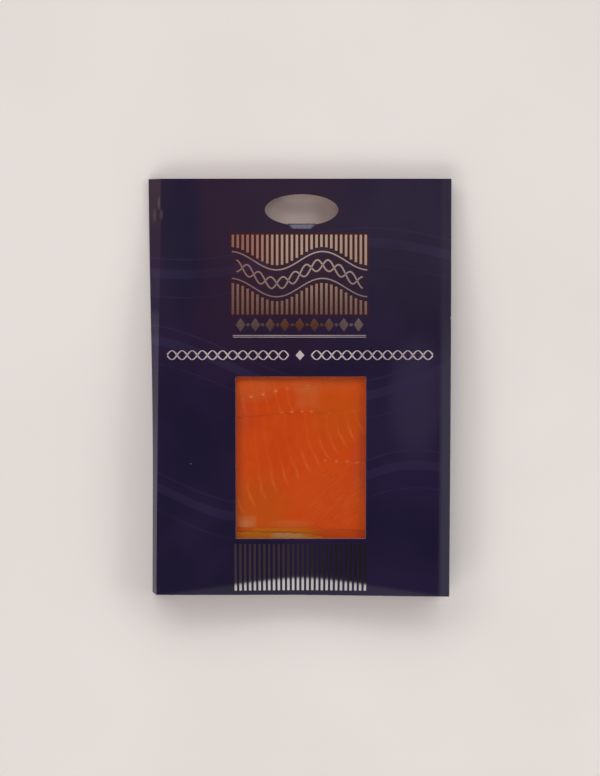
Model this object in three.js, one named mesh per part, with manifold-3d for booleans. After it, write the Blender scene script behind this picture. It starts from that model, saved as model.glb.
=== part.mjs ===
// Pack of smoked fish slices: a card sleeve with a display window and a hanging hole,
// round a clear vacuum pouch that holds the slices. The pack lies on its back.
// Millimetres. +X is to the right and +Y to the hanging end, seen from the front; +Z is out of the front.
// The origin is the middle of the bounding box's base.
import * as THREE from "three";
import { mergeVertices } from "three/addons/utils/BufferGeometryUtils.js";
import Module from "manifold-3d";

// ---- driving dimensions -------------------------------------------------------------------------

const LENGTH = 238.4; // along Y, from the closed bottom edge to the hanging end
const WIDTH = 171.9; // along X, at both ends
const END_SKEW = 1.05; // the right bottom corner is this much lower than the left one
const LEFT_WAIST = { depth: 1.2, y: -25, reach: 86 }; // the filled sleeve draws its left edge in

const BOARD = 0.45; // thickness of one ply of card
const NOSE = 2 * BOARD; // height of the round nose of a long fold
const SPINE = 7.1; // width of the narrow panel between two long folds
const FOLD = 0.25; // how far a long fold's nose stands out
const NOSE_SHAPE = { low: 0.3 * NOSE, high: 0.7 * NOSE, top: 0.95 * NOSE }; // heights of its corners
const CREASE = { round: 0.7, drop: 0.1 }; // the front panel's left crease is rounded this far each way
const END_WALL = 0.9; // thickness of the tucked flaps that close both ends

const HANGING_HEIGHT = 2.6; // height of the front panel at its long folds, at the hanging end
const FOLD_HEIGHT = 7.2; // the same where the sleeve is full
const CROWN = { hanging: 0.3, full: 1.2, power: 2.4 }; // extra height along the front panel's middle
const SWELL = { reach: 78, power: 1.57 }; // how the thickness grows away from the hanging end
const END_CROWN_LOSS = { from: -60, to: -118, share: 0.35 }; // the crown flattens near the bottom edge

// Near the bottom edge the front panel bends down along a rounded chevron: rise is its highest
// point above the edge, slope the fall of its arms and round the size of its rounded middle.
const END_BEND = { rise: 11.2, slope: 0.155, round: 15, x: 1.3, angle: 15, softness: 1.6 };

const WINDOW = { x: 0.6, y: -38.95, width: 74.4, height: 92.9, corner: 0.7 };
const HANG_HOLE = { x: 1.05, y: 101.6, width: 41.3, height: 17.4, flatY: 93.6, backMargin: 0.8 };
// The hinge of the punched-out flap: it widens and slopes down towards the hole, and drops into it.
const LIP = { x: 1.1, hingeWidth: 10.6, tipWidth: 15.0, length: 2.8, slope: 32, slit: 0.1 };
const LIP_TAIL = { length: 1.0, slope: 80 };

const GAP = 0.3; // between the pouch and the card

const POUCH = { x: 0, y: -30.6, width: 124, height: 150, corner: 9, rim: 0.9, rimBand: 13 };
const WINDOW_BULGE = 0.25; // the film rises this much into the window
const SLICE_EDGES = [
  { y: -13.0, fromX: -40, toX: 20, step: 0.35 }, // lower edge of the uppermost slice
  { y: -41.4, fromX: 12, toX: 45, step: 0.25 }, // lower edge of the slice at the right
  { y: -81.5, fromX: -60, toX: 60, step: 0.9 }, // where the slices end
];
const EDGE_SOFTNESS = 0.4; // along Y, of each of those steps
const EDGE_FADE = 3; // along X, where a step starts and ends

// ---- shared shape of the sleeve -----------------------------------------------------------------

const HALF_LENGTH = LENGTH / 2;
const HALF_WIDTH = WIDTH / 2;

const radians = (degrees) => (degrees * Math.PI) / 180;
const softStep = (value) => 1 / (1 + Math.exp(-value));
const softPlus = (value) => Math.log1p(Math.exp(-Math.abs(value))) + Math.max(value, 0);
const leftWaist = (y) => LEFT_WAIST.depth * Math.exp(-(((y - LEFT_WAIST.y) / LEFT_WAIST.reach) ** 2));

// 0 at the flatter hanging end, growing to 1 where the sleeve is full.
function fullness(y) {
  const fromEnd = Math.max(HALF_LENGTH - y, 0);
  return 1 - Math.exp(-((fromEnd / SWELL.reach) ** SWELL.power));
}

// Where the long folds lie at one place along the pack. The section is a sheared rectangle:
// the left spine leans outwards under the crease, and the right one leans in under the front panel.
function section(y) {
  const foldHeight = THREE.MathUtils.lerp(HANGING_HEIGHT, FOLD_HEIGHT, fullness(y));
  const lean = Math.sqrt(SPINE ** 2 - (foldHeight - NOSE) ** 2);
  const left = -HALF_WIDTH + leftWaist(y);
  const right = HALF_WIDTH;
  return {
    left,
    right,
    foldHeight,
    crease: left + lean, // left end of the front panel
    backRight: right - lean, // right end of the back panel
    slant: Math.atan2(foldHeight - NOSE, lean),
  };
}

const bottomEdge = (x) => -HALF_LENGTH + END_SKEW / 2 - (END_SKEW / 2) * (x / HALF_WIDTH);

function bendLine(x) {
  const { rise, slope, round } = END_BEND;
  return bottomEdge(x) + rise - slope * (Math.hypot(x - END_BEND.x, round) - round);
}

// Height of the front panel's outer face.
function frontHeight(x, y) {
  const { crease, right, foldHeight } = section(y);
  const across = Math.min(Math.abs((2 * x - crease - right) / (right - crease)), 1);
  const { from, to, share } = END_CROWN_LOSS;
  const endLoss = share * THREE.MathUtils.smoothstep(-y, -from, -to);
  const crownHere = THREE.MathUtils.lerp(CROWN.hanging, CROWN.full, fullness(y)) * (1 - endLoss);
  const past = END_BEND.softness * softPlus((bendLine(x) - y) / END_BEND.softness);
  const bend = Math.tan(radians(END_BEND.angle)) * past;
  return foldHeight + crownHere * (1 - across ** CROWN.power) - bend;
}

// ---- solids from rings --------------------------------------------------------------------------

// A ring of four points may stand at any angle; a longer one is flat across Y.
function capTriangles(ring) {
  if (ring.length === 4) return [[0, 1, 2], [0, 2, 3]];
  const outline = ring.map((p) => new THREE.Vector2(p.x, p.z));
  return THREE.ShapeUtils.triangulateShape(outline, []);
}

// A closed mesh through rings of the same number of points, with both ends capped. Each ring lies
// round the Y axis, counter-clockwise seen from -Y, and the rings follow each other towards +Y.
function loft(rings) {
  const count = rings[0].length;
  const positions = rings.flat().flatMap((p) => [p.x, p.y, p.z]);
  const index = [];
  for (let r = 0; r < rings.length - 1; r++) {
    for (let i = 0; i < count; i++) {
      const j = (i + 1) % count;
      const [a, b, c, d] = [r * count + i, r * count + j, (r + 1) * count + j, (r + 1) * count + i];
      index.push(a, c, b, a, d, c);
    }
  }
  const last = (rings.length - 1) * count;
  for (const [a, b, c] of capTriangles(rings[0])) index.push(a, b, c);
  for (const [a, b, c] of capTriangles(rings.at(-1))) index.push(last + a, last + c, last + b);
  const geometry = new THREE.BufferGeometry();
  geometry.setAttribute("position", new THREE.Float32BufferAttribute(positions, 3));
  geometry.setIndex(index);
  return geometry;
}

const wasm = await Module();
wasm.setup();

function solidFrom(geometry) {
  const bare = geometry.clone();
  bare.deleteAttribute("normal");
  bare.deleteAttribute("uv");
  const merged = mergeVertices(bare, 1e-4);
  return new wasm.Manifold(
    new wasm.Mesh({
      numProp: 3,
      vertProperties: new Float32Array(merged.attributes.position.array),
      triVerts: new Uint32Array(merged.index.array),
    }),
  );
}

function geometryFrom(solid) {
  const made = solid.getMesh();
  const geometry = new THREE.BufferGeometry();
  geometry.setAttribute("position", new THREE.Float32BufferAttribute(made.vertProperties, made.numProp));
  geometry.setIndex(Array.from(made.triVerts));
  geometry.computeVertexNormals();
  return geometry;
}

function namedMesh(name, geometry, look) {
  const mesh = new THREE.Mesh(geometry, new THREE.MeshStandardMaterial(look));
  mesh.name = name;
  return mesh;
}

const spread = (from, to, steps) =>
  Array.from({ length: steps + 1 }, (_, i) => from + ((to - from) * i) / steps);

// ---- card sleeve --------------------------------------------------------------------------------

const PANEL_STEPS = 18; // points across the front panel
const ROW_STEPS = 30; // rings along the sleeve
const END_ROWS = [2.2, 4, 6, 8.5, 11.5, 15]; // extra rings near the bottom edge, in mm from it

// Distances from the bottom edge of the rings past the first, denser where the end bends down.
function rowOffsets(from, to) {
  const even = spread(END_ROWS.at(-1), to, ROW_STEPS).slice(1);
  return [...END_ROWS.filter((d) => d > from + 0.5), ...even];
}

// A point of a ring: the ring number is kept as a share of the length, so the skewed bottom edge
// and the straight top edge are both followed.
function ringPoint(x, share, z) {
  return new THREE.Vector3(x, THREE.MathUtils.lerp(bottomEdge(x), HALF_LENGTH, share), z);
}

function outerRing(share) {
  const y = THREE.MathUtils.lerp(bottomEdge(0), HALF_LENGTH, share);
  const at = section(y);
  const top = (x) => frontHeight(x, ringPoint(x, share, 0).y);
  const panelLeft = at.crease + CREASE.round;
  const panelRight = at.right - FOLD;
  const creaseZ = top(panelLeft) - CREASE.drop;
  const rightZ = top(panelRight);
  const { low, high, top: noseTop } = NOSE_SHAPE;
  const profile = [
    [at.left + FOLD, 0],
    [at.backRight, 0],
    [at.right - FOLD, rightZ - noseTop],
    [at.right, rightZ - high],
    [at.right, rightZ - low],
    ...spread(panelRight, panelLeft, PANEL_STEPS).map((x) => [x, top(x)]),
    [at.crease, creaseZ],
    [at.crease - CREASE.round * Math.cos(at.slant), creaseZ - CREASE.round * Math.sin(at.slant)],
    [at.left + FOLD, noseTop],
    [at.left, high],
    [at.left, low],
  ];
  return profile.map(([x, z]) => ringPoint(x, share, z));
}

function cavityRing(share) {
  const y = THREE.MathUtils.lerp(bottomEdge(0), HALF_LENGTH, share);
  const at = section(y);
  const under = (x) => frontHeight(x, ringPoint(x, share, 0).y) - BOARD;
  const inset = BOARD * Math.tan(at.slant / 2);
  const underRight = at.right - FOLD - inset - BOARD;
  const underLeft = at.crease + inset + CREASE.round / 2;
  const profile = [
    [at.left + FOLD + inset, BOARD],
    [at.backRight - inset, BOARD],
    ...spread(underRight, underLeft, PANEL_STEPS).map((x) => [x, under(x)]),
  ];
  return profile.map(([x, z]) => ringPoint(x, share, z));
}

const shareOf = (offset) => offset / LENGTH;
const BETWEEN_PLIES = 2 * BOARD; // a height inside the sleeve, where each ply's cutters end
const CLEAR = 3; // how far a cutter reaches past the face it goes through

function windowCutter() {
  const { x, y, width, height, corner } = WINDOW;
  const [w, h] = [width / 2, height / 2];
  const depth = FOLD_HEIGHT + CROWN.full + CLEAR;
  const outline = new THREE.Shape();
  outline.absarc(x + w - corner, y + h - corner, corner, 0, Math.PI / 2);
  outline.absarc(x - w + corner, y + h - corner, corner, Math.PI / 2, Math.PI);
  outline.absarc(x - w + corner, y - h + corner, corner, Math.PI, 1.5 * Math.PI);
  outline.absarc(x + w - corner, y - h + corner, corner, 1.5 * Math.PI, 2 * Math.PI);
  const cutter = new THREE.ExtrudeGeometry(outline, { depth, bevelEnabled: false, curveSegments: 3 });
  return cutter.translate(0, 0, BETWEEN_PLIES);
}

// An upright block of an oval's outline, cut straight along its lowest part at flatY.
function ovalCutter(margin, flatY, fromZ, toZ) {
  const { x, y, width, height } = HANG_HOLE;
  const flatAngle = Math.asin((flatY - y) / (height / 2 + margin));
  const outline = new THREE.Shape();
  outline.absellipse(x, y, width / 2 + margin, height / 2 + margin, flatAngle, Math.PI - flatAngle, false);
  outline.closePath();
  const depth = toZ - fromZ;
  const cutter = new THREE.ExtrudeGeometry(outline, { depth, bevelEnabled: false, curveSegments: 18 });
  return cutter.translate(0, 0, fromZ);
}

// The front panel's hole ends in a straight line at the flap's hinge; the back panel's is a little larger.
function hangHoleCutters() {
  const { flatY, backMargin } = HANG_HOLE;
  return [
    ovalCutter(0, flatY, BETWEEN_PLIES, FOLD_HEIGHT + CLEAR),
    ovalCutter(backMargin, flatY - backMargin, -CLEAR, BETWEEN_PLIES),
  ];
}

// The slot in the front panel that the lip bends down in.
function lipSlotCutter() {
  const { x, hingeWidth, tipWidth, length, slit } = LIP;
  const edgeY = HANG_HOLE.flatY;
  const hingeY = edgeY - length;
  const surface = frontHeight(x, hingeY);
  const [lowZ, highZ] = [surface - 2 * BOARD, surface + CLEAR];
  const ring = (width, y) => {
    const half = width / 2 + slit;
    return [
      new THREE.Vector3(x - half, y, lowZ),
      new THREE.Vector3(x + half, y, lowZ),
      new THREE.Vector3(x + half, y, highZ),
      new THREE.Vector3(x - half, y, highZ),
    ];
  };
  return loft([ring(hingeWidth, hingeY), ring(tipWidth, edgeY), ring(tipWidth, edgeY + 1)]);
}

// The lip: a strip of card that leaves the front panel at its hinge. Each ring stands square to it.
function lip() {
  const { x, hingeWidth, tipWidth, length } = LIP;
  const edgeY = HANG_HOLE.flatY;
  const hingeY = edgeY - length;
  const surface = frontHeight(x, hingeY);
  const slope = radians(LIP.slope);
  const drop = radians(LIP_TAIL.slope);
  const edgeZ = surface - length * Math.tan(slope);
  const tailY = edgeY + LIP_TAIL.length * Math.cos(drop);
  const tailZ = edgeZ - LIP_TAIL.length * Math.sin(drop);
  const ring = (width, y, z, turn) => {
    const point = (side, depth) => {
      const [back, down] = [Math.sin(turn) * depth, Math.cos(turn) * depth];
      return new THREE.Vector3(x + (side * width) / 2, y - back, z - down);
    };
    return [point(-1, BOARD), point(1, BOARD), point(1, 0), point(-1, 0)];
  };
  return loft([
    ring(hingeWidth, hingeY - BOARD, surface, 0),
    ring(hingeWidth, hingeY, surface, slope / 2),
    ring(tipWidth, edgeY, edgeZ, (slope + drop) / 2),
    ring(tipWidth, tailY, tailZ, drop),
  ]);
}

function cardSleeve() {
  const rows = [0, ...rowOffsets(0, LENGTH)].map(shareOf);
  const cavityTop = LENGTH - END_WALL;
  const cavityRows = [END_WALL, ...rowOffsets(END_WALL, cavityTop)].map(shareOf);
  let solid = solidFrom(loft(rows.map(outerRing)))
    .subtract(solidFrom(loft(cavityRows.map(cavityRing))))
    .subtract(solidFrom(windowCutter()));
  for (const cutter of [...hangHoleCutters(), lipSlotCutter()]) solid = solid.subtract(solidFrom(cutter));
  solid = solid.add(solidFrom(lip()));
  return namedMesh("card_sleeve", geometryFrom(solid), {
    color: 0x2b2440,
    roughness: 0.35,
    metalness: 0.0,
  });
}

// ---- vacuum pouch with the slices in it ---------------------------------------------------------

const POUCH_COLUMNS = 30;
const POUCH_ROWS = 40;

// How much lower the film lies below each slice edge.
function sliceRelief(x, y) {
  let drop = 0;
  for (const edge of SLICE_EDGES) {
    const past = softStep((edge.y - y) / EDGE_SOFTNESS);
    const within = softStep((x - edge.fromX) / EDGE_FADE) * softStep((edge.toX - x) / EDGE_FADE);
    drop += edge.step * past * within;
  }
  return drop;
}

function insideWindow(x, y) {
  const dx = WINDOW.width / 2 - Math.abs(x - WINDOW.x);
  const dy = WINDOW.height / 2 - Math.abs(y - WINDOW.y);
  return THREE.MathUtils.smoothstep(Math.min(dx, dy), 1, 12);
}

function pouchTop(x, y, fromRim) {
  const base = BOARD + GAP;
  const ceiling = frontHeight(x, y) - BOARD - GAP;
  const full = ceiling + WINDOW_BULGE * insideWindow(x, y) - sliceRelief(x, y);
  const filled = THREE.MathUtils.smoothstep(fromRim, 0, POUCH.rimBand);
  return base + THREE.MathUtils.lerp(POUCH.rim, full - base, filled);
}

function pouchRing(y) {
  const { x, width, height, corner, rim } = POUCH;
  const fromEnd = height / 2 - Math.abs(y - POUCH.y);
  const cornerCut = corner - Math.sqrt(corner ** 2 - Math.max(corner - fromEnd, 0) ** 2);
  const half = width / 2 - cornerCut;
  const base = BOARD + GAP;
  const top = spread(x + half, x - half, POUCH_COLUMNS).map((px) => {
    const fromRim = Math.min(fromEnd, half - Math.abs(px - x));
    return new THREE.Vector3(px, y, pouchTop(px, y, fromRim));
  });
  const low = (px) => new THREE.Vector3(px, y, base);
  return [low(x - half + rim / 2), low(x + half - rim / 2), ...top];
}

function vacuumPouch() {
  const rows = spread(POUCH.y - POUCH.height / 2, POUCH.y + POUCH.height / 2, POUCH_ROWS);
  return namedMesh("vacuum_pouch", geometryFrom(solidFrom(loft(rows.map(pouchRing)))), {
    color: 0xb8562a,
    roughness: 0.25,
    metalness: 0.0,
  });
}

// ---- the pack -----------------------------------------------------------------------------------

const pack = new THREE.Group();
pack.add(cardSleeve(), vacuumPouch());
export default pack;
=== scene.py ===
"""Pack of smoked fish slices: a glossy printed card sleeve with a display window and a hanging hole,
round a clear vacuum pouch. Lengths are in millimetres, and MM turns them into the scene's metres.
+X is to the right, +Y to the hanging end and +Z out of the front panel."""
import math

import bpy
import numpy as np
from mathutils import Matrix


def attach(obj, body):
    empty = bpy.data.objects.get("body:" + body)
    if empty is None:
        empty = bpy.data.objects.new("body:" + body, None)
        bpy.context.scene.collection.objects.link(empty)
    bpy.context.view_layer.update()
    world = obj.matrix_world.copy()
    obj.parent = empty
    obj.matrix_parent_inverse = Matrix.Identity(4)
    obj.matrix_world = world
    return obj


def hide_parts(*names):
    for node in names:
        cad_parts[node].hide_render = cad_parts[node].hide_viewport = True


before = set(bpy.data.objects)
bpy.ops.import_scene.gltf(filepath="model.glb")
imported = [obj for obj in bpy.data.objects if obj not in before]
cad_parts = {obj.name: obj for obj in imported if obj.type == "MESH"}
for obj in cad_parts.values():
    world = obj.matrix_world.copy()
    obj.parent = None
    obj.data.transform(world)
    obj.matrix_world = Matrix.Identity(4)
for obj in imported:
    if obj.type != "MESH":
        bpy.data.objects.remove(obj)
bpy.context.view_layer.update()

MM = 0.001
BODY = "root"

# ---- Sizes of the sleeve ----

LENGTH = 238.4
WIDTH = 171.9
END_SKEW = 1.05  # the right bottom corner is this much lower than the left one
LEFT_WAIST = {"depth": 1.2, "y": -25.0, "reach": 86.0}

BOARD = 0.45
NOSE = 2 * BOARD
SPINE = 7.1
FOLD = 0.25
END_WALL = 0.9

HANGING_HEIGHT = 2.6
FOLD_HEIGHT = 7.2
CROWN = {"hanging": 0.3, "full": 1.2, "power": 2.4}
SWELL = {"reach": 78.0, "power": 1.57}
END_CROWN_LOSS = {"from": -60.0, "to": -118.0, "share": 0.35}
END_BEND = {"rise": 11.2, "slope": 0.155, "round": 15.0, "x": 1.3, "angle": 15.0, "softness": 1.6}

WINDOW = {"x": 0.6, "y": -38.95, "width": 74.4, "height": 92.9, "corner": 0.7}
HANG_HOLE = {"x": 1.05, "y": 101.6, "width": 41.3, "height": 17.4, "flat_y": 93.6, "back_margin": 0.8}
LIP = {"x": 1.1, "hinge_width": 11.2, "tip_width": 15.8, "length": 2.8, "beyond": 0.45, "slope": 32.0,
       "slit": 0.1}
LIP_TAIL = {"length": 1.0, "slope": 80.0}
HINGE_Y = HANG_HOLE["flat_y"] - LIP["length"]

# The die leaves a sloping edge: the margins of its foot and of its head, and its depth.
HOLE_EDGE = {"foot": 0.0, "head": 0.25, "depth": 0.2}
WINDOW_EDGE = {"foot": -0.35, "head": 0.0, "depth": 0.4}

# ---- Sizes of the pouch ----

GAP = 0.3
POUCH = {"x": 0.0, "y": -30.6, "width": 124.0, "height": 150.0, "corner": 9.0, "rim": 0.9, "band": 13.0}
WINDOW_BULGE = 0.25
FILM_CLEARANCE = 0.12  # between the slices and the film over them

# ---- Print ----

PRINT_LIFT = 0.02
STRIPE_COUNT = 28
STRIPE_SHARE = 0.5  # foil width over pitch
PRINT_AXIS = -0.1
FOIL_BLOCK = {"low": 42.55, "high": 87.6, "x": -0.25, "pitch": 2.786}
WAVE_BAND = {"y": 65.3, "amplitude": 5.2, "period": 52.0, "half": 10.2, "inner_line": 0.75}
FOOT_STRIPES = {"low": -115.7, "high": -88.4, "x": 0.35, "pitch": 2.745}
CHAIN = {"y": 36.7, "height": 7.8, "width": 75.1}
RULE = {"y": 30.2, "width": 75.3, "line": 0.3, "spacing": 0.95}
TWIST = {"x": 0.15, "y": 19.5, "reach": 75.3, "gap": 6.5, "swing": 2.5, "period": 11.5, "line": 0.85}

HALF_LENGTH = LENGTH / 2
HALF_WIDTH = WIDTH / 2


# ---- Shared shape of the sleeve ----


def smooth_step(value, low, high):
    share = np.clip((value - low) / (high - low), 0.0, 1.0)
    return share * share * (3 - 2 * share)


def soft_plus(value):
    return np.log1p(np.exp(-np.abs(value))) + np.maximum(value, 0.0)


def left_waist(y):
    return LEFT_WAIST["depth"] * np.exp(-(((y - LEFT_WAIST["y"]) / LEFT_WAIST["reach"]) ** 2))


def fullness(y):
    """0 at the flatter hanging end, growing to 1 where the sleeve is full."""
    from_end = np.maximum(HALF_LENGTH - y, 0.0)
    return 1 - np.exp(-((from_end / SWELL["reach"]) ** SWELL["power"]))


def section(y):
    """Where the long folds lie at one place along the pack."""
    fold_height = HANGING_HEIGHT + (FOLD_HEIGHT - HANGING_HEIGHT) * fullness(y)
    lean = np.sqrt(SPINE**2 - (fold_height - NOSE) ** 2)
    left = -HALF_WIDTH + left_waist(y)
    right = HALF_WIDTH + np.zeros_like(left)
    return {
        "left": left,
        "right": right,
        "fold_height": fold_height,
        "crease": left + lean,
        "back_right": right - lean,
        "slant": np.arctan2(fold_height - NOSE, lean),
    }


def bottom_edge(x):
    return -HALF_LENGTH + END_SKEW / 2 - (END_SKEW / 2) * (x / HALF_WIDTH)


def bend_line(x):
    arm = np.hypot(x - END_BEND["x"], END_BEND["round"]) - END_BEND["round"]
    return bottom_edge(x) + END_BEND["rise"] - END_BEND["slope"] * arm


def front_height(x, y):
    """Height of the front panel's outer face."""
    x, y = np.asarray(x, float), np.asarray(y, float)
    at = section(y)
    across = np.abs((2 * x - at["crease"] - at["right"]) / (at["right"] - at["crease"]))
    end_loss = END_CROWN_LOSS["share"] * smooth_step(-y, -END_CROWN_LOSS["from"], -END_CROWN_LOSS["to"])
    crown = CROWN["hanging"] + (CROWN["full"] - CROWN["hanging"]) * fullness(y)
    past = END_BEND["softness"] * soft_plus((bend_line(x) - y) / END_BEND["softness"])
    bend = math.tan(math.radians(END_BEND["angle"])) * past
    crown = crown * (1 - end_loss) * (1 - np.minimum(across, 1.0) ** CROWN["power"])
    return at["fold_height"] + crown - bend


def front_normal(x, y, step=0.2):
    slope_x = (front_height(x + step, y) - front_height(x - step, y)) / (2 * step)
    slope_y = (front_height(x, y + step) - front_height(x, y - step)) / (2 * step)
    normal = np.stack([-slope_x, -slope_y, np.ones_like(slope_x)], axis=-1)
    return normal / np.linalg.norm(normal, axis=-1, keepdims=True)


# ---- Meshes ----


def new_object(name, points, faces, materials, face_slots=None):
    """A mesh object from points in millimetres."""
    mesh = bpy.data.meshes.new(name)
    mesh.from_pydata((np.asarray(points, float) * MM).tolist(), [], [list(map(int, f)) for f in faces])
    for material in materials:
        mesh.materials.append(material)
    if face_slots is not None:
        mesh.polygons.foreach_set("material_index", np.asarray(face_slots, np.int32))
    mesh.polygons.foreach_set("use_smooth", np.full(len(mesh.polygons), True))
    mesh.update()
    made = bpy.data.objects.new(name, mesh)
    bpy.context.collection.objects.link(made)
    return made


def new_piece(name, points, faces, materials, face_slots=None):
    made = new_object(name, points, faces, materials, face_slots)
    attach(made, BODY)
    return made


def ring_faces(ring_count, count):
    """Side and cap faces of a closed mesh through rings that lie counter-clockwise seen from -Y."""
    faces = []
    for r in range(ring_count - 1):
        for i in range(count):
            j = (i + 1) % count
            faces.append([r * count + i, (r + 1) * count + i, (r + 1) * count + j, r * count + j])
    last = (ring_count - 1) * count
    faces.append(list(range(count)))
    faces.append(list(range(last + count - 1, last - 1, -1)))
    return faces


def loft(name, rings, materials, slot_number):
    rings = [np.asarray(ring, float) for ring in rings]
    faces = ring_faces(len(rings), len(rings[0]))
    return new_object(name, np.concatenate(rings), faces, materials, [slot_number] * len(faces))


def arc_points(x, z, radius, start, end, steps):
    angles = np.radians(np.linspace(start, end, steps + 1))
    return [(x + radius * math.cos(a), z + radius * math.sin(a)) for a in angles]


def cut(target, cutters):
    """Cut each cutter out of the target, then take the cutters away."""
    for cutter in cutters:
        modifier = target.modifiers.new("cut", "BOOLEAN")
        modifier.operation = "DIFFERENCE"
        modifier.solver = "EXACT"
        modifier.object = cutter
        depsgraph = bpy.context.evaluated_depsgraph_get()
        made = bpy.data.meshes.new_from_object(target.evaluated_get(depsgraph))
        target.modifiers.clear()
        old = target.data
        target.data = made
        bpy.data.meshes.remove(old)
        bpy.data.meshes.remove(cutter.data)


# ---- Node helper ----


class Graph:
    """Adds and links nodes of one material or world. A value is a number, a colour or a socket."""

    def __init__(self, tree):
        self.tree = tree
        tree.nodes.clear()

    def add(self, kind, inputs=(), **settings):
        node = self.tree.nodes.new("ShaderNode" + kind)
        for key, value in settings.items():
            setattr(node, key, value)
        for key, value in dict(inputs).items():
            self.put(node.inputs[key], value)
        return node

    def put(self, socket, value):
        if isinstance(value, bpy.types.NodeSocket):
            self.tree.links.new(value, socket)
        elif isinstance(value, (tuple, list)) and len(value) == 3 and socket.type == "RGBA":
            socket.default_value = (*value, 1.0)
        else:
            socket.default_value = value

    def math(self, operation, *values):
        inputs = dict(enumerate(values))
        return self.add("Math", inputs, operation=operation).outputs[0]

    def times(self, *parts):
        product = parts[0]
        for part in parts[1:]:
            product = self.math("MULTIPLY", product, part)
        return product

    def plus(self, a, b):
        return self.math("ADD", a, b)

    def minus(self, a, b):
        return self.math("SUBTRACT", a, b)

    def over(self, a, b):
        return self.math("DIVIDE", a, b)

    def most(self, a, b):
        return self.math("MAXIMUM", a, b)

    def size(self, value):
        return self.math("ABSOLUTE", value)

    def linear(self, value, gain, offset):
        return self.math("MULTIPLY_ADD", value, gain, offset)

    def ramp(self, value, low, high, to_low=0.0, to_high=1.0):
        """A smooth step from to_low to to_high as the value goes from low to high."""
        inputs = dict(enumerate((value, low, high, to_low, to_high)))
        return self.add("MapRange", inputs, interpolation_type="SMOOTHSTEP").outputs[0]

    def fall(self, value, low, high):
        return self.ramp(value, low, high, 1.0, 0.0)

    def mix(self, factor, a, b):
        return self.add("Mix", {0: factor, 6: a, 7: b}, data_type="RGBA").outputs[2]

    def vector_math(self, operation, inputs):
        return self.add("VectorMath", inputs, operation=operation).outputs[0]

    def noise(self, vector, scale, detail=2.0, roughness=0.5):
        inputs = {"Vector": vector, "Scale": scale, "Detail": detail, "Roughness": roughness}
        return self.add("TexNoise", inputs).outputs[0]

    def streaks(self, vector, scale, detail, turn=0.0):
        """Noise drawn out along axes turned by an angle. The scale has a number for each axis."""
        inputs = {"Vector": vector, "Scale": [1 / part for part in scale], "Rotation": (0.0, 0.0, turn)}
        stretched = self.add("Mapping", inputs, vector_type="TEXTURE").outputs[0]
        return self.noise(stretched, 1.0, detail)

    def attribute(self, name):
        return self.add("Attribute", attribute_name=name).outputs["Fac"]

    def place(self):
        """Object coordinates in metres, and x and y in millimetres."""
        vector = self.add("TexCoord").outputs["Object"]
        parts = self.add("SeparateXYZ", {"Vector": vector}).outputs
        return vector, self.times(parts[0], 1 / MM), self.times(parts[1], 1 / MM)

    def bump(self, height, distance, strength):
        inputs = {"Height": height, "Distance": distance, "Strength": strength}
        return self.add("Bump", inputs).outputs[0]

    def spot(self, x, y, centre, radii):
        """1 in the middle of a soft oval spot on the front, 0 outside it. Places in millimetres."""
        dx = self.over(self.minus(x, centre[0]), radii[0])
        dy = self.over(self.minus(y, centre[1]), radii[1])
        return self.fall(self.plus(self.times(dx, dx), self.times(dy, dy)), 0.0, 1.0)


class Material(Graph):
    """The graph of a new material, with one principled shader at its end."""

    def __init__(self, name):
        self.made = bpy.data.materials.new(name)
        self.made.use_nodes = True
        super().__init__(self.made.node_tree)

    def finished(self, inputs):
        shader = self.add("BsdfPrincipled", inputs)
        self.add("OutputMaterial", {"Surface": shader.outputs[0]})
        return self.made


# ---- Materials of the card ----

NAVY = (0.0133, 0.0100, 0.0330)
VIOLET = (0.0195, 0.0130, 0.0440)
PLUM = (0.0270, 0.0105, 0.0290)
GHOST = (0.0320, 0.0240, 0.0680)
BROWN = (0.0540, 0.0080, 0.0030)
HAZY_SHEEN = (0.0400, 0.0330, 0.0700)
FOLD_SHEEN = (0.0460, 0.0430, 0.0700)
RIDGE_HIGHLIGHT = (0.0750, 0.0700, 0.0850)
WORN = (0.30, 0.30, 0.34)
CREASE_SHADE = (0.0040, 0.0035, 0.0080)
LIP_SHEEN = (0.112, 0.106, 0.138)
CUT_EDGE_SHADED = [(0.100, 0.034, 0.042), (0.150, 0.055, 0.058)]
BOARD_TONES = [(0.50, 0.45, 0.41), (0.62, 0.57, 0.53)]
CARD_IOR = 1.36
DULL_IOR = 1.12  # for a crushed edge, and for fish wet against its film: both throw little light back

# Rubbed places on the folds: x, y, half width, half height, strength.
SCUFFS = [
    (85.9, 40.6, 0.9, 1.2, 0.9),
    (86.0, 36.5, 0.35, 4.5, 0.5),
    (86.0, 28.6, 0.4, 1.2, 0.4),
    (-62.0, -42.3, 0.5, 0.4, 0.5),
]

# Broad soft tones in the print: x, y, half width, half height, colour, strength.
# The first four are painted light on the crumple in the spine: painted highlights on its ridges and painted
# shade in its crease.
PRINT_TONES = [
    (-79.7, 105.5, 1.0, 5.0, RIDGE_HIGHLIGHT, 0.6),
    (-78.3, 98.9, 1.3, 3.6, RIDGE_HIGHLIGHT, 0.6),
    (-82.4, 98.6, 1.4, 4.6, RIDGE_HIGHLIGHT, 0.45),
    (-80.1, 98.6, 0.8, 4.8, CREASE_SHADE, 1.0),
    (-66.0, 84.0, 15.0, 60.0, NAVY, 0.9),
    (-46.0, 84.0, 14.0, 64.0, PLUM, 0.45),
    # a painted sheen: a hazy pale patch at the right middle of the panel
    (66.0, -6.0, 20.0, 44.0, HAZY_SHEEN, 0.5),
    (62.0, -84.0, 30.0, 24.0, NAVY, 0.6),
]

# Faint printed waves: middle height, swing, length of one wave, x of a crest.
GHOST_WAVES = [(12.0, 17.0, 236.0, -96.0), (-58.0, 15.0, 190.0, 66.0), (74.0, 9.0, 210.0, 40.0)]

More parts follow.
